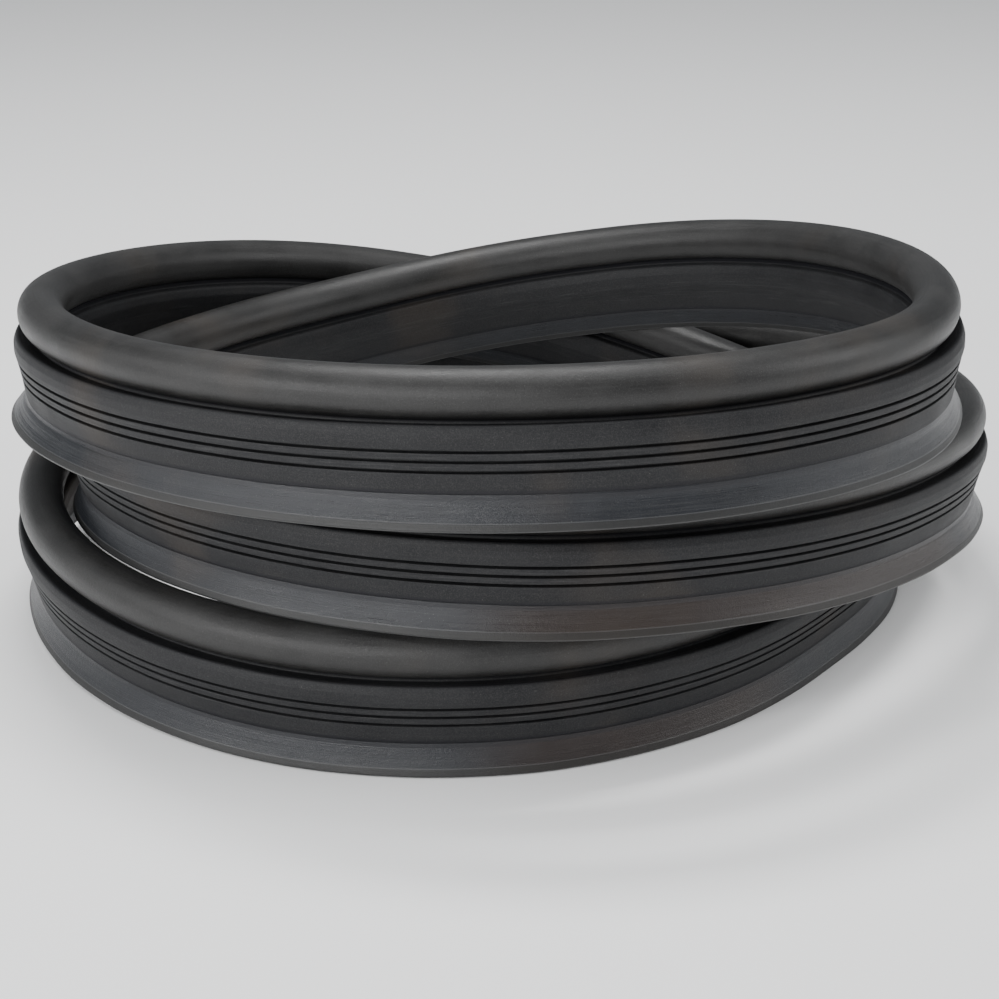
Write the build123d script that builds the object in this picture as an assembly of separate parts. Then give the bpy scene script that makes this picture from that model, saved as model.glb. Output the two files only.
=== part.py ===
from build123d import *
import math
import os

# Closed-loop bulb seal, folded into a coil of three turns. Millimetres and degrees.
# Frame: +Z up, the lowest lip edge on z = 0, the Z axis through the middle of the coil's box.
# Section of the strip: u points away from the middle of the coil, v points up from the lip's edge.

# ---- Bulb: the round, hollow, soft tube at the top of the section ----
BULB_DIAMETER = 17.0
BULB_WALL = 2.5

# ---- Neck: joins the bulb to the web, with a deep groove outside and a shallow one inside ----
GROOVE_HEIGHT = 1.4
NECK_OUT = 2.2
NECK_IN = 4.6
INNER_GROOVE_DEEPER = 0.8
INNER_GROOVE_RISE = 0.6

# ---- Web: the dense strip between the neck and the lip ----
WEB_HEIGHT = 21.0
SHOULDER_OUT = 9.3
SHOULDER_RISE = 1.2
SHOULDER_CHAMFER = 0.9
SHOULDER_FACE = 4.4
WEB_FOOT_OUT = 4.6
RIDGE_IN = 8.0
RIDGE_DROP = 4.0
WAIST_IN = 4.8
WAIST_DROP = 12.6
WEB_FOOT_IN = 0.7

# ---- Slits: narrow slots in the outer face of the web ----
SLIT_COUNT = 3
SLIT_WIDTH = 0.7
SLIT_DEPTH = 2.4
SLIT_PITCH = 3.4
FIRST_SLIT_DROP = 7.1

# ---- Lip: the flared skirt below the web ----
LIP_HEIGHT = 11.6
LIP_THICKNESS = 2.8
LIP_EDGE_OUT = 7.8
LIP_EDGE_CHAMFER = 0.5
LIP_STEP = 0.35
LIP_BEND_OUT = 1.2
LIP_BEND_DROP = 3.6

# ---- Splice: the vulcanised joint that closes the loop, and the plug in the bulb's bore ----
SPLICE_TURN = 1.5
SPLICE_THICKNESS = 1.2
PLUG_SECTIONS = 1
PLUG_CLEARANCE = 0.05

# ---- Coil ----
COIL_RADIUS = 160.0
SECTIONS_PER_TURN = 48
FIRST_AZIMUTH = -90.0
STATIONS_PER_TURN = 12
MIDDLE_X = 5.5
MIDDLE_Y = -18.5

# The turns are not round: MIDDLE_X and MIDDLE_Y put their common centre beside the box's middle.
# Stations run counterclockwise seen from above, from the front of the top turn.
# Each is the offset from the coil's radius in strip widths, the height of the lip's edge in
# strip heights, the lean of the section (top outwards) and the spread of the lip (edge outwards).
STATIONS = [
    (-0.02, 1.83, -9, -10),
    (-0.04, 1.82, -9, -13),
    (-0.06, 1.75, -8, -10),
    (-0.46, 1.67, -6, 4),
    (-0.64, 1.52, -5, 8),
    (-0.52, 1.28, -3, 7),
    (-0.42, 0.99, -1, 6),
    (-0.36, 0.76, 0, 1),
    (-0.36, 0.75, 0, -2),
    (-0.14, 0.85, -1, -1),
    (-0.21, 0.98, -1, -2),
    (-0.43, 1.01, -3, -4),

    (-0.65, 0.99, -4, -3),
    (-0.78, 0.91, -3, -2),
    (-0.42, 0.76, -2, 2),
    (0.64, 0.60, -2, 8),
    (1.42, 0.42, -2, 8),
    (1.91, 0.22, -1, 4),
    (2.13, 0.12, -1, 1),
    (2.10, 0.08, -1, 0),
    (1.86, 0.08, 0, 0),
    (1.40, 0.06, 0, 0),
    (0.73, 0.02, 0, 0),
    (0.02, 0.00, 0, 0),

    (-0.85, 0.00, 0, 0),
    (-1.62, 0.00, 0, 0),
    (-1.86, 0.00, 0, 0),
    (-1.02, 0.00, -1, 1),
    (-0.19, 0.03, -2, 3),
    (0.45, 0.20, -4, 7),
    (0.84, 0.58, -5, 10),
    (0.87, 0.98, -6, 11),
    (0.93, 1.28, -6, 11),
    (1.12, 1.49, -6, 10),
    (0.56, 1.64, -6, 8),
    (0.10, 1.76, -7, -1),
]

# ---- Sizes that follow from the ones above ----
BULB_RADIUS = BULB_DIAMETER / 2
SHOULDER_V = LIP_HEIGHT + WEB_HEIGHT
BULB_AXIS_V = SHOULDER_V + GROOVE_HEIGHT + BULB_RADIUS
STRIP_HEIGHT = BULB_AXIS_V + BULB_RADIUS
STRIP_WIDTH = max(SHOULDER_OUT, BULB_RADIUS) + max(RIDGE_IN, BULB_RADIUS)
TURNS = len(STATIONS) // STATIONS_PER_TURN
HALF_SPLICE = SPLICE_THICKNESS / 2 / (2 * math.pi * COIL_RADIUS)


def smooth(before, start, end, after, share):
    """Catmull-Rom value at a share of the way from start to end."""
    slope_start = (end - before) / 2
    slope_end = (after - start) / 2
    rise = end - start
    square = 3 * rise - 2 * slope_start - slope_end
    cube = slope_start + slope_end - 2 * rise
    return start + share * (slope_start + share * (square + share * cube))


def station_at(turn):
    """Radius, height, lean and spread at a place along the loop, counted in turns."""
    place = turn * STATIONS_PER_TURN
    first = math.floor(place + 1e-9)
    rows = [STATIONS[(first + step) % len(STATIONS)] for step in (-1, 0, 1, 2)]
    out, up, lean, spread = (smooth(*values, place - first) for values in zip(*rows))
    return COIL_RADIUS + out * STRIP_WIDTH, up * STRIP_HEIGHT, lean, spread


def in_space(turn, point):
    """Put a point (u, v) of the section at its place along the loop."""
    radius, height, lean, _ = station_at(turn)
    u, v = point
    above_shoulder = v - SHOULDER_V
    cosine = math.cos(math.radians(lean))
    sine = math.sin(math.radians(lean))
    reach = radius + u * cosine + above_shoulder * sine
    level = height + SHOULDER_V + above_shoulder * cosine - u * sine
    azimuth = math.radians(FIRST_AZIMUTH + 360 * turn)
    return Vector(MIDDLE_X + reach * math.cos(azimuth), MIDDLE_Y + reach * math.sin(azimuth), level)


def on_bulb(radius, angle):
    """Point of a circle about the bulb's axis, at an angle in degrees from +u."""
    turned = math.radians(angle)
    return radius * math.cos(turned), BULB_AXIS_V + radius * math.sin(turned)


def angle_on_bulb(u):
    """Angle of the point on the lower half of the bulb at u."""
    return -math.degrees(math.acos(u / BULB_RADIUS))


NECK_OUT_ANGLE = angle_on_bulb(NECK_OUT)
NECK_IN_ANGLE = angle_on_bulb(-NECK_IN)


def outer_face(v):
    """u of the web's outer face, which tapers in from the shoulder to the lip."""
    shoulder_foot = SHOULDER_V - SHOULDER_FACE
    share = (shoulder_foot - v) / (shoulder_foot - LIP_HEIGHT)
    return SHOULDER_OUT + max(share, 0) * (WEB_FOOT_OUT - SHOULDER_OUT)


def slit_points():
    points = []
    for number in range(SLIT_COUNT):
        middle = SHOULDER_V - FIRST_SLIT_DROP - number * SLIT_PITCH
        top = middle + SLIT_WIDTH / 2
        bottom = middle - SLIT_WIDTH / 2
        floor = outer_face(middle) - SLIT_DEPTH
        points += [(outer_face(top), top), (floor, top), (floor, bottom), (outer_face(bottom), bottom)]
    return points


def web_points():
    """Outline of the web from the neck's outer corner, down outside and up inside."""
    points = [on_bulb(BULB_RADIUS, NECK_OUT_ANGLE)]
    shoulder_top = SHOULDER_V + SHOULDER_RISE
    points += [(NECK_OUT, SHOULDER_V), (SHOULDER_OUT - SHOULDER_CHAMFER, shoulder_top)]
    points += [(SHOULDER_OUT, shoulder_top - SHOULDER_CHAMFER), (SHOULDER_OUT, SHOULDER_V - SHOULDER_FACE)]
    points += slit_points()
    points += [(WEB_FOOT_OUT, LIP_HEIGHT), (-WEB_FOOT_IN, LIP_HEIGHT)]
    points += [(-WAIST_IN, SHOULDER_V - WAIST_DROP), (-RIDGE_IN, SHOULDER_V - RIDGE_DROP)]
    points += [(-NECK_IN - INNER_GROOVE_DEEPER, SHOULDER_V + INNER_GROOVE_RISE)]
    points += [on_bulb(BULB_RADIUS, NECK_IN_ANGLE)]
    return points


def lip_points(spread):
    """Outline of the lip, bent outwards about its root by the spread."""
    root = (WEB_FOOT_OUT - WEB_FOOT_IN) / 2
    cosine = math.cos(math.radians(spread))
    sine = math.sin(math.radians(spread))

    def bent(u, v):
        across = u - root
        down = v - LIP_HEIGHT
        return root + across * cosine - down * sine, LIP_HEIGHT + across * sine + down * cosine

    edge_out = LIP_EDGE_OUT - LIP_EDGE_CHAMFER
    points = [(-WEB_FOOT_IN, LIP_HEIGHT), (WEB_FOOT_OUT - LIP_STEP, LIP_HEIGHT)]
    points += [bent(LIP_EDGE_OUT, LIP_EDGE_CHAMFER), bent(edge_out, 0)]
    points += [bent(LIP_EDGE_OUT - LIP_THICKNESS, 0), bent(LIP_BEND_OUT, LIP_HEIGHT - LIP_BEND_DROP)]
    return points


def lines(turn, points):
    places = [in_space(turn, point) for point in points]
    return [Edge.make_line(start, end) for start, end in zip(places, places[1:])]


def arc(turn, radius, start, end):
    angles = (start, (start + end) / 2, end)
    return Edge.make_three_point_arc(*(in_space(turn, on_bulb(radius, angle)) for angle in angles))


def bulb_arcs(turn, radius):
    """A full circle in three arcs, of which the first lies on the neck."""
    ends = [NECK_IN_ANGLE, NECK_OUT_ANGLE, 90.0, NECK_IN_ANGLE + 360]
    return [arc(turn, radius, start, end) for start, end in zip(ends, ends[1:])]


def bulb_section(turn, radius):
    return Wire(bulb_arcs(turn, radius))


def web_section(turn):
    return Wire(lines(turn, web_points()) + [arc(turn, BULB_RADIUS, NECK_IN_ANGLE, NECK_OUT_ANGLE)])


def lip_places(turn):
    return [in_space(turn, point) for point in lip_points(station_at(turn)[3])]


def lip_section(turn):
    return Wire.make_polygon(lip_places(turn), close=True)


def between(start, end, far_start, far_end):
    """The face between two runs: flat where its corners lie in one plane, and ruled elsewhere."""
    normal = (end - start).cross(far_start - start).normalized()
    if abs((far_end - start).dot(normal)) < 1e-7:
        return Face(Wire.make_polygon([start, end, far_end, far_start], close=True))
    near = Edge.make_line(start, end)
    far = Edge.make_line(far_start, far_end)
    return Face.make_surface_from_curves(near, far)


def outer_tube(turn):
    return bulb_section(turn, BULB_RADIUS)


def bore(turn):
    return bulb_section(turn, BULB_RADIUS - BULB_WALL)


def plug_section(turn):
    return bulb_section(turn, BULB_RADIUS - BULB_WALL - PLUG_CLEARANCE)


# Places of the sections, from one face of the splice right round to its other face.
STRIP_START = SPLICE_TURN + HALF_SPLICE
STRIP_LENGTH = TURNS - 2 * HALF_SPLICE
SPANS = TURNS * SECTIONS_PER_TURN
STRIP_TURNS = [STRIP_START + STRIP_LENGTH * number / SPANS for number in range(SPANS + 1)]
SPLICE_TURNS = [SPLICE_TURN - HALF_SPLICE, SPLICE_TURN + HALF_SPLICE]


def swept(section, turns):
    return Solid.make_loft([section(turn) for turn in turns], ruled=True)


def tube_wall(radius, turns):
    """Ruled faces of a round tube, each between two arcs that face each other."""
    rings = [bulb_arcs(turn, radius) for turn in turns]
    faces = []
    for ring, following in zip(rings, rings[1:]):
        faces += [Face.make_surface_from_curves(*pair) for pair in zip(ring, following)]
    return faces


def sealing_bulb():
    """The hollow tube: its outer and inner walls, and a ring at each cut end."""
    inside = BULB_RADIUS - BULB_WALL
    ends = [Face(bulb_section(turn, BULB_RADIUS), [bulb_section(turn, inside)])
            for turn in (STRIP_TURNS[0], STRIP_TURNS[-1])]
    return Solid(Shell(tube_wall(BULB_RADIUS, STRIP_TURNS) + tube_wall(inside, STRIP_TURNS) + ends))


def ribbed_web():
    return swept(web_section, STRIP_TURNS)


def flared_lip():
    """The lip from its faces, so that the edge that the coil rests on is flat."""
    rings = [lip_places(turn) for turn in STRIP_TURNS]
    faces = [Face(lip_section(turn)) for turn in (STRIP_TURNS[0], STRIP_TURNS[-1])]
    for ring, following in zip(rings, rings[1:]):
        for corner in range(len(ring)):
            ends = (corner - 1, corner)
            faces.append(between(*(ring[end] for end in ends), *(following[end] for end in ends)))
    return Solid(Shell(faces))


def splice_film():
    """The bonded layer between the two cut ends, over the whole section."""
    ring = swept(outer_tube, SPLICE_TURNS) - swept(bore, SPLICE_TURNS)
    return ring + swept(web_section, SPLICE_TURNS) + swept(lip_section, SPLICE_TURNS)


def splice_plug():
    """The dowel in the bore, which keeps the bulb open and in line at the splice."""
    before = [turn - TURNS for turn in STRIP_TURNS[-1 - PLUG_SECTIONS:]]
    after = STRIP_TURNS[:PLUG_SECTIONS + 1]
    return swept(plug_section, before + after)


def strip_length():
    """Length of the loop along the bulb's axis."""
    axis = [in_space(turn, (0, BULB_AXIS_V)) for turn in STRIP_TURNS]
    return sum((end - start).length for start, end in zip(axis, axis[1:]))


NODES = {
    "sealing_bulb": sealing_bulb,
    "ribbed_web": ribbed_web,
    "flared_lip": flared_lip,
    "splice_film": splice_film,
    "splice_plug": splice_plug,
}

os.makedirs("parts", exist_ok=True)
for name, make in NODES.items():
    solid = make()
    export_step(solid, f"parts/{name}.step")
    print(f"{name}: {solid.volume:.0f} mm3")
print(f"loop length {strip_length():.0f} mm along the bulb's axis")
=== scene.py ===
import bpy
import math
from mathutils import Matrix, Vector


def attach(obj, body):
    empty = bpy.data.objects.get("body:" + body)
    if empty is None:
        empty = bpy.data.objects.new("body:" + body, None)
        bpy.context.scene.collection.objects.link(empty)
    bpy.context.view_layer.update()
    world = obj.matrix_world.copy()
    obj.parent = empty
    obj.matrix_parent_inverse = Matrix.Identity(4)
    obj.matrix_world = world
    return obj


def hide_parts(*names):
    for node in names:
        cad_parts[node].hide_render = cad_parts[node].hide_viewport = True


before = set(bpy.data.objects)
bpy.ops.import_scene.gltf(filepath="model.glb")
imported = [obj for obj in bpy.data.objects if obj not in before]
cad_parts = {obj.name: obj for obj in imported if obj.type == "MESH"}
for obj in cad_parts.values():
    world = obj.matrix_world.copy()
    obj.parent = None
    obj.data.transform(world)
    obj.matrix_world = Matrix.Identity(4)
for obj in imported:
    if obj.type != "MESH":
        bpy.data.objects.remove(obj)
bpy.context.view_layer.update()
MM = 0.001

# ---------------------------------------------------------------- section, as in part.py, in mm
BULB_RADIUS = 8.5
GROOVE_HEIGHT = 1.4
LIP_HEIGHT = 11.6
WEB_HEIGHT = 21.0
SHOULDER_V = LIP_HEIGHT + WEB_HEIGHT
BULB_AXIS_V = SHOULDER_V + GROOVE_HEIGHT + BULB_RADIUS
STRIP_HEIGHT = BULB_AXIS_V + BULB_RADIUS
STRIP_WIDTH = 17.8

# ---------------------------------------------------------------- coil, as in part.py
# The two stations of the middle turn at the left stand 5 and 3 mm further out than in part.py.
COIL_RADIUS = 160.0
MIDDLE = Vector((5.5, -18.5))
FIRST_AZIMUTH = -90.0
SPLICE_TURN = 1.5
HALF_SPLICE = 1.2 / 2 / (2 * math.pi * COIL_RADIUS)
TURNS = 3
CONTROLS_PER_TURN = 36
STATIONS_PER_TURN = 12
# Each station is its offset in strip widths, its height in strip heights, its lean and the lip's spread.
STATIONS = [
    (-0.02, 1.83, -9, -10),
    (-0.04, 1.82, -9, -13),
    (-0.06, 1.75, -8, -10),
    (-0.46, 1.67, -6, 4),
    (-0.64, 1.52, -5, 8),
    (-0.52, 1.28, -3, 7),
    (-0.42, 0.99, -1, 6),
    (-0.36, 0.76, 0, 1),
    (-0.36, 0.75, 0, -2),
    (0.14, 0.85, -1, -1),
    (-0.04, 0.98, -1, -2),
    (-0.43, 1.01, -3, -4),

    (-0.65, 0.99, -4, -3),
    (-0.78, 0.91, -3, -2),
    (-0.42, 0.76, -2, 2),
    (0.64, 0.60, -2, 8),
    (1.42, 0.42, -2, 8),
    (1.91, 0.22, -1, 4),
    (2.13, 0.12, -1, 1),
    (2.10, 0.08, -1, 0),
    (1.86, 0.08, 0, 0),
    (1.40, 0.06, 0, 0),
    (0.73, 0.02, 0, 0),
    (0.02, 0.00, 0, 0),

    (-0.85, 0.00, 0, 0),
    (-1.62, 0.00, 0, 0),
    (-1.86, 0.00, 0, 0),
    (-1.02, 0.00, -1, 1),
    (-0.19, 0.03, -2, 3),
    (0.45, 0.20, -4, 7),
    (0.84, 0.58, -5, 10),
    (0.87, 0.98, -6, 11),
    (0.93, 1.28, -6, 11),
    (1.12, 1.49, -6, 10),
    (0.56, 1.64, -6, 8),
    (0.10, 1.76, -7, -1),
]


def smooth(before, start, end, after, share):
    """A value between start and end, on a smooth curve through all four."""
    slope_start = (end - before) / 2
    slope_end = (after - start) / 2
    rise = end - start
    square = 3 * rise - 2 * slope_start - slope_end
    cube = slope_start + slope_end - 2 * rise
    return start + share * (slope_start + share * (square + share * cube))


def station_at(turn):
    """The strip's radius, height, lean and spread at a place along the loop."""
    place = turn * STATIONS_PER_TURN
    first = math.floor(place + 1e-9)
    rows = [STATIONS[(first + step) % len(STATIONS)] for step in (-1, 0, 1, 2)]
    out, up, lean, spread = (smooth(*values, place - first) for values in zip(*rows))
    return COIL_RADIUS + out * STRIP_WIDTH, up * STRIP_HEIGHT, lean, spread


def bulb_axis_at(turn):
    """The radius, height and azimuth of the bulb's axis at a place along the loop."""
    radius, height, lean, _ = station_at(turn)
    above = BULB_AXIS_V - SHOULDER_V
    reach = radius + above * math.sin(math.radians(lean))
    level = height + SHOULDER_V + above * math.cos(math.radians(lean))
    azimuth = math.radians(FIRST_AZIMUTH + 360 * turn)
    return reach, level, azimuth


# ---------------------------------------------------------------- camera
LOOK_AT = Vector((-7.45, 0.0, 38.15)) * MM + Vector((MIDDLE.x, MIDDLE.y, 0.0)) * MM
ELEVATION = math.radians(21.46)
DISTANCE = 0.8688
SENSOR_WIDTH = 36.0
LENS = 80.37
camera_data = bpy.data.cameras.new("camera")
camera_data.sensor_width = SENSOR_WIDTH
camera_data.lens = LENS
camera = bpy.data.objects.new("camera", camera_data)
bpy.context.scene.collection.objects.link(camera)
camera.location = LOOK_AT + DISTANCE * Vector((0, -math.cos(ELEVATION), math.sin(ELEVATION)))
camera.rotation_euler = (math.radians(90) - ELEVATION, 0, 0)
bpy.context.scene.camera = camera

# ---------------------------------------------------------------- route of the bulb's axis
START = SPLICE_TURN + HALF_SPLICE
LENGTH_IN_TURNS = TURNS - 2 * HALF_SPLICE
CONTROLS = TURNS * CONTROLS_PER_TURN
curve = bpy.data.curves.new("route", "CURVE")
curve.dimensions = "3D"
curve.resolution_u = 8
spline = curve.splines.new("NURBS")
spline.points.add(CONTROLS)
for number in range(CONTROLS + 1):
    reach, level, azimuth = bulb_axis_at(START + LENGTH_IN_TURNS * number / CONTROLS)
    if 0 < number < CONTROLS:
        reach = reach / math.cos(math.pi / CONTROLS_PER_TURN)
    x = (MIDDLE.x + reach * math.cos(azimuth)) * MM
    y = (MIDDLE.y + reach * math.sin(azimuth)) * MM
    spline.points[number].co = (x, y, level * MM, 1)
spline.order_u = 3
spline.use_endpoint_u = True
route = bpy.data.objects.new("route", curve)
bpy.context.scene.collection.objects.link(route)
bpy.context.view_layer.update()
line = bpy.data.meshes.new_from_object(route.evaluated_get(bpy.context.evaluated_depsgraph_get()))
axis = [vertex.co.copy() for vertex in line.vertices]
bpy.data.objects.remove(route)
bpy.data.meshes.remove(line)

along = [0.0]
for before, after in zip(axis, axis[1:]):
    along.append(along[-1] + (after - before).length)

# Each place on the route gets its turn, its outward direction and its section's lean and spread.
places = []
for number, point in enumerate(axis):
    azimuth = math.atan2(point.y - MIDDLE.y * MM, point.x - MIDDLE.x * MM)
    guess = START + LENGTH_IN_TURNS * number / (len(axis) - 1)
    raw = (math.degrees(azimuth) - FIRST_AZIMUTH) / 360
    turn = raw + round(guess - raw)
    _, _, lean, spread = station_at(turn)
    places.append((point, turn, azimuth, lean, spread, along[number]))


# ---------------------------------------------------------------- section outlines, in mm
def rounded(corners, steps=5):
    """A closed outline with each corner (u, v, radius) rounded; sharp where the radius is 0."""
    outline = []
    count = len(corners)
    for number, (u, v, radius) in enumerate(corners):
        here = Vector((u, v))
        if radius == 0:
            outline.append(here)
            continue
        before = Vector(corners[number - 1][:2]) - here
        after = Vector(corners[(number + 1) % count][:2]) - here
        half = before.angle(after) / 2
        reach = min(radius / math.tan(half), before.length * 0.48, after.length * 0.48)
        first = here + before.normalized() * reach
        last = here + after.normalized() * reach
        for step in range(steps + 1):
            share = step / steps
            outline.append((1 - share) ** 2 * first + 2 * share * (1 - share) * here + share ** 2 * last)
    return outline


def split_long(outline, longest):
    """More points on long straight stretches of an outline."""
    result = []
    for here, following in zip(outline, outline[1:] + outline[:1]):
        pieces = max(1, math.ceil((following - here).length / longest))
        result += [here.lerp(following, piece / pieces) for piece in range(pieces)]
    return result


SHOULDER_OUT = 9.3
SHOULDER_END_V = 28.2
FACE_SLOPE = 4.7
FACE_HOLLOW = 0.35


def face_u(v):
    """u of the web's outer face at v, slightly hollow between the shoulder and the lip."""
    share = max(0.0, (SHOULDER_END_V - v) / (SHOULDER_END_V - LIP_HEIGHT))
    return SHOULDER_OUT - FACE_SLOPE * share - FACE_HOLLOW * math.sin(math.pi * share)


SLIT_MIDDLES = (SHOULDER_V - 7.1, SHOULDER_V - 10.5, SHOULDER_V - 13.9)
SLIT_HALF = 0.56
SLIT_DEPTH = 2.3


def web_corners():
    """The web's outline as (u, v, radius) corners, with its three slits."""
    corners = [(2.2, 34.5, 0), (2.3, 33.0, 0.5), (5.6, 33.3, 1.2), (8.7, 34.2, 1.3)]
    corners += [(9.55, 31.0, 2.2), (SHOULDER_OUT, SHOULDER_END_V, 2.4)]
    for middle in SLIT_MIDDLES:
        top = middle + SLIT_HALF
        bottom = middle - SLIT_HALF
        floor = face_u(middle) - SLIT_DEPTH
        corners += [(face_u(top), top, 0.22), (floor, middle + 0.25, 0.1)]
        corners += [(floor, middle - 0.25, 0.1), (face_u(bottom), bottom, 0.22)]
    corners += [(face_u(14.6), 14.6, 1.0), (face_u(12.1), 12.3, 0.3), (4.35, LIP_HEIGHT - 0.4, 0)]
    corners += [(-0.7, LIP_HEIGHT - 0.4, 0), (-0.9, LIP_HEIGHT + 0.6, 1.5), (-4.8, 20.0, 5.0)]
    corners += [(-7.6, 24.5, 4.0), (-8.3, 29.2, 3.2), (-7.4, 32.9, 2.2), (-5.3, 33.5, 0.6), (-4.4, 35.3, 0)]
    return corners


LIP_ROOT = 1.95
LIP_BEND_LENGTH = 3.0


def lip_corners():
    """The lip's outline as (u, v, radius) corners, before it is bent."""
    return [(-0.7, LIP_HEIGHT + 0.3, 0), (3.9, LIP_HEIGHT + 0.3, 0), (4.1, LIP_HEIGHT - 0.15, 0.15),
            (4.35, 9.6, 2.0), (5.7, 5.6, 4.0), (6.8, 3.0, 2.0), (7.7, 0.6, 0.5), (7.3, 0.0, 0.25),
            (5.0, 0.0, 0.4), (1.4, 7.6, 3.5)]


def lip_bend(point, spread):
    """The lip turned about its root, more towards its edge."""
    share = min(max((LIP_HEIGHT - point.y) / LIP_BEND_LENGTH, 0.0), 1.0)
    angle = math.radians(spread) * share
    across = point.x - LIP_ROOT
    down = point.y - LIP_HEIGHT
    u = LIP_ROOT + across * math.cos(angle) - down * math.sin(angle)
    v = LIP_HEIGHT + across * math.sin(angle) + down * math.cos(angle)
    return Vector((u, v))


BULB_POINTS = 72


def bulb_outline():
    """The bulb's outer circle."""
    points = []
    for number in range(BULB_POINTS):
        angle = 2 * math.pi * number / BULB_POINTS
        points.append(Vector((math.cos(angle), math.sin(angle))) * BULB_RADIUS + Vector((0, BULB_AXIS_V)))
    return points


WEB_OUTLINE = split_long(rounded(web_corners()), 0.9)
LIP_OUTLINE = split_long(rounded(lip_corners()), 0.7)
BULB_OUTLINE = bulb_outline()


# ---------------------------------------------------------------- slow irregularity along the strip
def wander(distance, size, lengths, offset):
    """A slow sum of waves along the strip, the same every run."""
    total = 0.0
    for number, wave in enumerate(lengths):
        total += math.sin(2 * math.pi * distance / wave + offset + 1.7 * number) / (number + 1)
    return size * total


def web_shape(point, distance, spread):
    on_face = min(max((point.x - 2.5) / 3.0, 0.0), 1.0)
    across = wander(distance, 0.07, (0.31, 0.117, 0.046), 0.4)
    upwards = wander(distance, 0.08, (0.23, 0.071), 2.0)
    return Vector((point.x + across * on_face, point.y + upwards * on_face))


def lip_shape(point, distance, spread):
    bent = lip_bend(point, spread)
    edge = min(max((LIP_HEIGHT - point.y) / LIP_HEIGHT, 0.0), 1.0) ** 2
    ripple = wander(distance, 0.16, (0.19, 0.083, 0.037), 1.1) * edge
    lift = max(wander(distance, 0.1, (0.27, 0.061), 0.0) * edge, 0.0)
    return Vector((bent.x + ripple, bent.y + lift))


def bulb_shape(point, distance, spread):
    grow = 1 + wander(distance, 0.004, (0.41, 0.152), 0.9)
    return Vector((point.x * grow, BULB_AXIS_V + (point.y - BULB_AXIS_V) * grow))


# ---------------------------------------------------------------- sweeping an outline along the route
def swept(name, outline, shape):
    """A closed piece with the outline at each place on the route, on the body root."""
    count = len(outline)
    across = [0.0]
    for here, following in zip(outline, outline[1:] + outline[:1]):
        across.append(across[-1] + (following - here).length)
    vertices = []
    for point, turn, azimuth, lean, spread, distance in places:
        outward = Vector((math.cos(azimuth), math.sin(azimuth), 0))
        cosine = math.cos(math.radians(lean))
        sine = math.sin(math.radians(lean))
        right = outward * cosine + Vector((0, 0, -sine))
        up = outward * sine + Vector((0, 0, cosine))
        for corner in outline:
            flat = shape(corner, distance, spread)
            vertices.append(point + (right * flat.x + up * (flat.y - BULB_AXIS_V)) * MM)
    rings = len(places)
    faces = []
    for ring in range(rings - 1):
        for number in range(count):
            following = (number + 1) % count
            first = ring * count
            last = first + count
            faces.append((first + following, first + number, last + number, last + following))
    faces.append(tuple(range(count)))
    faces.append(tuple(reversed(range((rings - 1) * count, rings * count))))
    mesh = bpy.data.meshes.new(name)
    mesh.from_pydata([tuple(vertex) for vertex in vertices], [], faces)
    layer = mesh.uv_layers.new(name="strip")
    values = []
    for ring in range(rings - 1):
        near = places[ring][5]
        far = places[ring + 1][5]
        for number in range(count):
            low = across[number] * MM
            high = across[number + 1] * MM
            values += [near, high, near, low, far, low, far, high]
    for ring in (0, rings - 1):
        for number in range(count):
            values += [places[ring][5], across[number] * MM]
    layer.data.foreach_set("uv", values)
    heights = mesh.attributes.new("height", "FLOAT", "POINT")
    heights.data.foreach_set("value", [corner.y for corner in outline] * rings)
    turns = mesh.attributes.new("turn", "FLOAT", "POINT")
    turns.data.foreach_set("value", [place[1] for place in places for _ in range(count)])
    mesh.polygons.foreach_set("use_smooth", [True] * (len(faces) - 2) + [False, False])
    piece = bpy.data.objects.new(name, mesh)
    bpy.context.scene.collection.objects.link(piece)
    bpy.context.view_layer.update()
    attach(piece, "root")
    return piece


bulb = swept("bulb_skin", BULB_OUTLINE, bulb_shape)
web = swept("web_skin", WEB_OUTLINE, web_shape)
lip = swept("lip_skin", LIP_OUTLINE, lip_shape)
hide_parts("sealing_bulb")
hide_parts("ribbed_web")
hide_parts("flared_lip")


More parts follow.
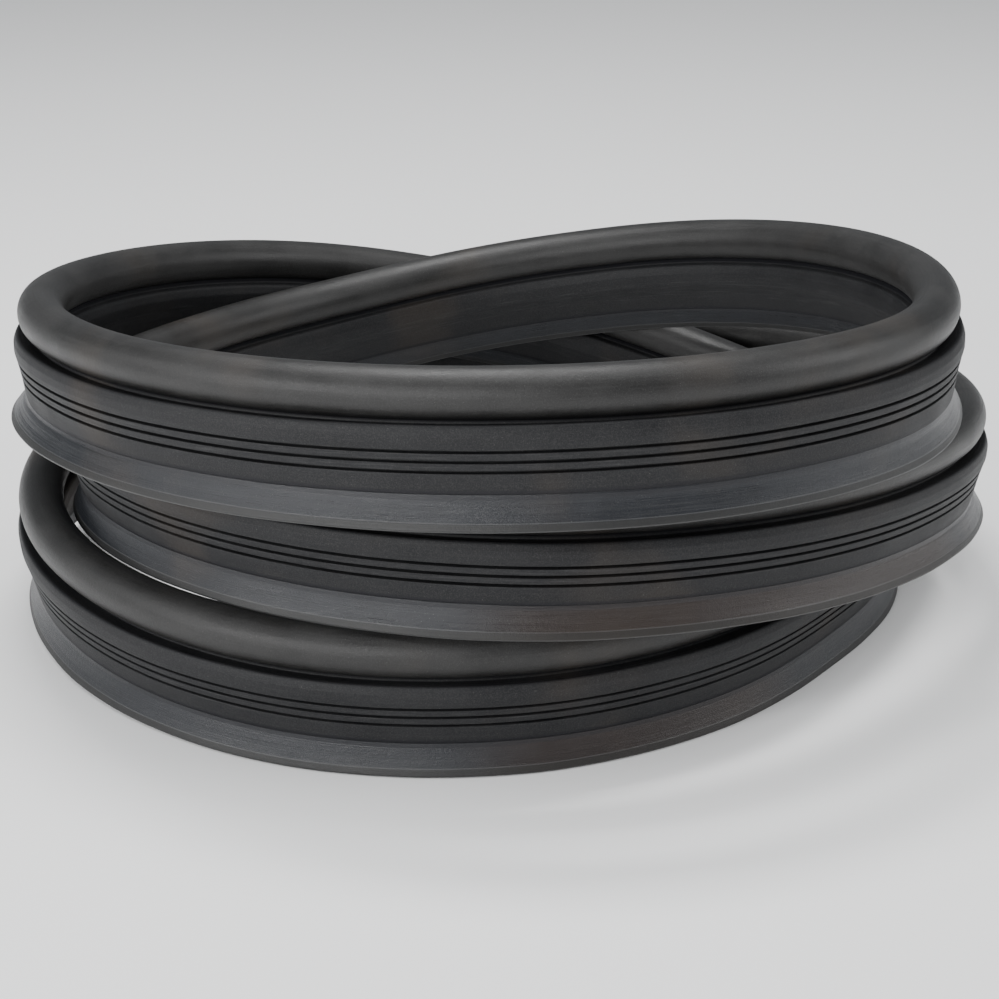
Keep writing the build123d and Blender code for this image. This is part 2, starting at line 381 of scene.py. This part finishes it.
# ---------------------------------------------------------------- materials
class Nodes:
    """Short calls for building a material's nodes."""

    def __init__(self, name):
        self.material = bpy.data.materials.new(name)
        self.material.use_nodes = True
        self.tree = self.material.node_tree
        self.shader = self.tree.nodes["Principled BSDF"]

    def node(self, kind, **settings):
        made = self.tree.nodes.new(kind)
        for key, value in settings.items():
            setattr(made, key, value)
        return made

    def link(self, source, target):
        self.tree.links.new(source, target)

    def put(self, target, value):
        if isinstance(value, (int, float, tuple)):
            target.default_value = value
        else:
            self.link(value, target)

    def attribute(self, name):
        return self.node("ShaderNodeAttribute", attribute_name=name).outputs["Fac"]

    def math(self, kind, first, second=0.0, third=0.0, clamp=False):
        made = self.node("ShaderNodeMath", operation=kind, use_clamp=clamp)
        self.put(made.inputs[0], first)
        self.put(made.inputs[1], second)
        self.put(made.inputs[2], third)
        return made.outputs[0]

    def ramp(self, value, low, high, start=0.0, end=1.0):
        """Smooth step of a value from low to high, giving start to end."""
        made = self.node("ShaderNodeMapRange", interpolation_type="SMOOTHSTEP")
        self.put(made.inputs["Value"], value)
        made.inputs["From Min"].default_value = low
        made.inputs["From Max"].default_value = high
        made.inputs["To Min"].default_value = start
        made.inputs["To Max"].default_value = end
        return made.outputs["Result"]

    def band(self, value, low, high, soft):
        """1 between low and high, 0 outside, with soft edges."""
        rise = self.ramp(value, low - soft, low + soft)
        fall = self.ramp(value, high - soft, high + soft, 1.0, 0.0)
        return self.math("MULTIPLY", rise, fall)

    def noise(self, place, scale, detail, rough):
        made = self.node("ShaderNodeTexNoise")
        self.put(made.inputs["Vector"], place)
        made.inputs["Scale"].default_value = scale
        made.inputs["Detail"].default_value = detail
        made.inputs["Roughness"].default_value = rough
        return made.outputs["Fac"]

    def mix(self, share, first, second):
        made = self.node("ShaderNodeMix", data_type="RGBA")
        self.put(made.inputs["Factor"], share)
        self.put(made.inputs[6], first)
        self.put(made.inputs[7], second)
        return made.outputs[2]

    def stretched(self, along_scale, across_scale):
        """Places on the strip, with its length and its height scaled apart."""
        places_on = self.node("ShaderNodeUVMap", uv_map="strip").outputs["UV"]
        made = self.node("ShaderNodeMapping")
        self.link(places_on, made.inputs["Vector"])
        made.inputs["Scale"].default_value = (along_scale, across_scale, 1.0)
        return made.outputs["Vector"]

    def bump(self, height, strength, distance, normal=None):
        made = self.node("ShaderNodeBump")
        self.put(made.inputs["Height"], height)
        made.inputs["Strength"].default_value = strength
        made.inputs["Distance"].default_value = distance
        if normal is not None:
            self.link(normal, made.inputs["Normal"])
        return made.outputs["Normal"]

    def finish(self, colour, rough, normal, specular=0.5):
        self.put(self.shader.inputs["Base Color"], colour)
        self.put(self.shader.inputs["Roughness"], rough)
        self.link(normal, self.shader.inputs["Normal"])
        self.shader.inputs["Specular IOR Level"].default_value = specular
        return self.material


def grey(value, warm=0.0):
    return (value * (1 + warm), value, value * (1 - warm), 1.0)


def grained(kit, base, lighter, fine, rough_low, rough_high):
    """Fine rubber grain: pores, pale specks, soft blotches and faint brown patches."""
    place = kit.node("ShaderNodeTexCoord").outputs["Object"]
    fine_noise = kit.noise(place, 2400.0, 3.0, 0.7)
    middle_noise = kit.noise(place, 800.0, 3.0, 0.6)
    blotch = kit.noise(place, 48.0, 5.0, 0.62)
    patch = kit.noise(place, 15.0, 3.0, 0.55)
    drawn = kit.noise(kit.stretched(18.0, 1100.0), 1.0, 4.0, 0.65)
    speck = kit.ramp(kit.noise(place, 2900.0, 1.0, 0.4), 0.73, 0.78)
    colour = kit.mix(kit.ramp(blotch, 0.34, 0.66), base, lighter)
    brown = kit.math("MULTIPLY", kit.ramp(patch, 0.53, 0.70), 0.45)
    colour = kit.mix(brown, colour, (0.040, 0.031, 0.024, 1))
    pale = kit.math("MULTIPLY", kit.ramp(fine_noise, 0.44, 0.66), fine)
    colour = kit.mix(pale, colour, grey(0.062, 0.02))
    colour = kit.mix(kit.math("MULTIPLY", speck, 0.5), colour, grey(0.14, 0.04))
    streak = kit.math("MULTIPLY", kit.ramp(drawn, 0.5, 0.75), 0.22)
    colour = kit.mix(streak, colour, grey(0.050, 0.01))
    mixed = kit.math("ADD", kit.math("MULTIPLY", blotch, 0.6), kit.math("MULTIPLY", drawn, 0.4))
    rough = kit.ramp(mixed, 0.32, 0.68, rough_low, rough_high)
    total = kit.math("ADD", kit.math("MULTIPLY", fine_noise, 0.6), kit.math("MULTIPLY", middle_noise, 0.6))
    normal = kit.bump(total, 0.6, 0.00026)
    normal = kit.bump(drawn, 0.18, 0.00012, normal)
    return colour, rough, normal


def bulb_material():
    kit = Nodes("bulb_rubber_surface")
    base = grey(0.0125, 0.02)
    colour, rough, normal = grained(kit, base, grey(0.020, 0.02), 0.26, 0.36, 0.50)
    # Painted shade: the bulb's underside towards the groove is darkened to near black and made rougher
    # there.
    underside_shade = kit.ramp(kit.attribute("height"), 34.6, 36.4, 1.0, 0.0)
    colour = kit.mix(kit.math("MULTIPLY", underside_shade, 0.8), colour, (0.003, 0.003, 0.005, 1))
    rough = kit.math("ADD", rough, kit.math("MULTIPLY", underside_shade, 0.3))
    return kit.finish(colour, rough, normal, 0.38)


def web_material():
    kit = Nodes("web_rubber_surface")
    base = (0.0075, 0.0078, 0.0092, 1)
    lighter = (0.0125, 0.0128, 0.0142, 1)
    colour, rough, normal = grained(kit, base, lighter, 0.30, 0.50, 0.64)
    height = kit.attribute("height")
    inside_slits = kit.band(height, 17.5, 26.5, 0.3)
    # Painted shade: a darker band in the crease at the web's foot, just above the lip.
    foot_shade = kit.band(height, 11.0, 12.6, 0.5)
    colour = kit.mix(kit.math("MULTIPLY", foot_shade, 0.6), colour, (0.006, 0.006, 0.009, 1))
    worn = kit.noise(kit.stretched(55.0, 1500.0), 1.0, 3.0, 0.6)
    wear = kit.math("MULTIPLY", kit.ramp(worn, 0.52, 0.70), inside_slits)
    colour = kit.mix(kit.math("MULTIPLY", wear, 0.35), colour, grey(0.060, 0.0))
    # Painted shade: the top of the web in the groove under the bulb is darkened to near black and made
    # rougher.
    above = kit.ramp(height, 33.5, 34.3)
    colour = kit.mix(above, colour, (0.0025, 0.0025, 0.0045, 1))
    rough = kit.math("ADD", rough, kit.math("MULTIPLY", above, 0.25))
    return kit.finish(colour, rough, normal, 0.26)


def lip_material():
    kit = Nodes("lip_rubber_surface")
    height = kit.attribute("height")
    turn = kit.attribute("turn")
    base = (0.0075, 0.0088, 0.0120, 1)
    lighter = (0.011, 0.0126, 0.0165, 1)
    colour, rough, normal = grained(kit, base, lighter, 0.06, 0.25, 0.33)
    lines = kit.noise(kit.stretched(9.0, 2600.0), 1.0, 4.0, 0.75)
    scratch = kit.noise(kit.stretched(26.0, 3900.0), 1.0, 2.0, 0.6)
    light_lines = kit.math("MULTIPLY", kit.ramp(scratch, 0.52, 0.72), 0.12)
    colour = kit.mix(light_lines, colour, (0.060, 0.062, 0.068, 1))
    tint = kit.math("MULTIPLY", kit.band(turn, 3.99, 4.20, 0.02), 0.5)
    tint = kit.math("ADD", tint, kit.math("MULTIPLY", kit.band(turn, 1.99, 2.12, 0.02), 0.45))
    colour = kit.mix(tint, colour, (0.034, 0.020, 0.013, 1))
    shade = kit.band(height, 9.6, 11.6, 0.5)
    colour = kit.mix(kit.math("MULTIPLY", shade, 0.55), colour, (0.005, 0.005, 0.008, 1))
    edge_band = kit.ramp(height, 2.5, 2.9, 1.0, 0.0)
    colour = kit.mix(kit.math("MULTIPLY", edge_band, 0.7), colour, (0.017, 0.0165, 0.015, 1))
    # Painted highlight: a thin pale line along the step above the lip's edge band.
    step = kit.band(height, 2.75, 3.05, 0.12)
    colour = kit.mix(kit.math("MULTIPLY", step, 0.5), colour, grey(0.085, 0.0))
    # Painted highlight: a pale line along the lip's bottom edge.
    rim_highlight = kit.band(height, 0.0, 0.45, 0.15)
    colour = kit.mix(kit.math("MULTIPLY", rim_highlight, 0.5), colour, grey(0.075, 0.0))
    rough = kit.math("ADD", rough, kit.math("MULTIPLY", edge_band, 0.14))
    rough = kit.math("ADD", rough, kit.math("MULTIPLY", kit.ramp(lines, 0.35, 0.65), 0.10))
    smoother = kit.math("SUBTRACT", 1.0, kit.math("MULTIPLY", edge_band, 0.8))
    normal = kit.bump(kit.math("MULTIPLY", lines, smoother), 0.55, 0.00022, normal)
    return kit.finish(colour, rough, normal, 0.46)


def splice_material():
    kit = Nodes("splice_rubber_surface")
    colour, rough, normal = grained(kit, grey(0.014, 0.02), grey(0.020, 0.02), 0.2, 0.40, 0.5)
    return kit.finish(colour, rough, normal, 0.5)


bulb.data.materials.append(bulb_material())
web.data.materials.append(web_material())
lip.data.materials.append(lip_material())
spliced = splice_material()
for name in ("splice_film", "splice_plug"):
    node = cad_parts[name]
    for number in range(len(node.material_slots)):
        node.material_slots[number].material = spliced

# ---------------------------------------------------------------- floor and light
floor_mesh = bpy.data.meshes.new("floor")
floor_mesh.from_pydata([(-6, -6, 0), (6, -6, 0), (6, 6, 0), (-6, 6, 0)], [], [(0, 1, 2, 3)])
floor = bpy.data.objects.new("floor", floor_mesh)
floor.location.z = -0.0003
bpy.context.scene.collection.objects.link(floor)
floor_kit = Nodes("floor_surface")
floor_kit.shader.inputs["Base Color"].default_value = (0.93, 0.93, 0.93, 1)
floor_kit.shader.inputs["Roughness"].default_value = 0.9
floor_kit.shader.inputs["Specular IOR Level"].default_value = 0.1
floor_mesh.materials.append(floor_kit.material)

world = bpy.data.worlds.new("studio")
world.use_nodes = True
world.node_tree.nodes["Background"].inputs["Color"].default_value = (0.90, 0.95, 1.0, 1)
world.node_tree.nodes["Background"].inputs["Strength"].default_value = 0.24
bpy.context.scene.world = world


def soft_light(name, place, target, width, height, power):
    data = bpy.data.lights.new(name, "AREA")
    data.shape = "RECTANGLE"
    data.size = width
    data.size_y = height
    data.energy = power
    light = bpy.data.objects.new(name, data)
    light.location = place
    light.rotation_euler = (Vector(target) - Vector(place)).to_track_quat("-Z", "Y").to_euler()
    bpy.context.scene.collection.objects.link(light)


soft_light("overhead", (-0.12, 0.32, 1.25), (-0.03, -0.1, 0.1), 0.40, 0.20, 9)
soft_light("ceiling", (0.0, -0.1, 2.2), (0.0, 0.0, 0.0), 2.6, 2.2, 42)
soft_light("front_left", (-0.42, -1.38, 0.48), (-0.02, -0.1, 0.08), 0.16, 0.20, 8)
soft_light("low_left", (-1.12, -0.92, 0.50), (-0.06, -0.1, 0.08), 0.22, 0.22, 8)
soft_light("left_side", (-1.4, -0.2, 0.70), (-0.1, 0.0, 0.08), 0.7, 0.6, 5)
soft_light("right_side", (1.4, -0.2, 0.70), (0.1, 0.0, 0.08), 0.7, 0.6, 9)
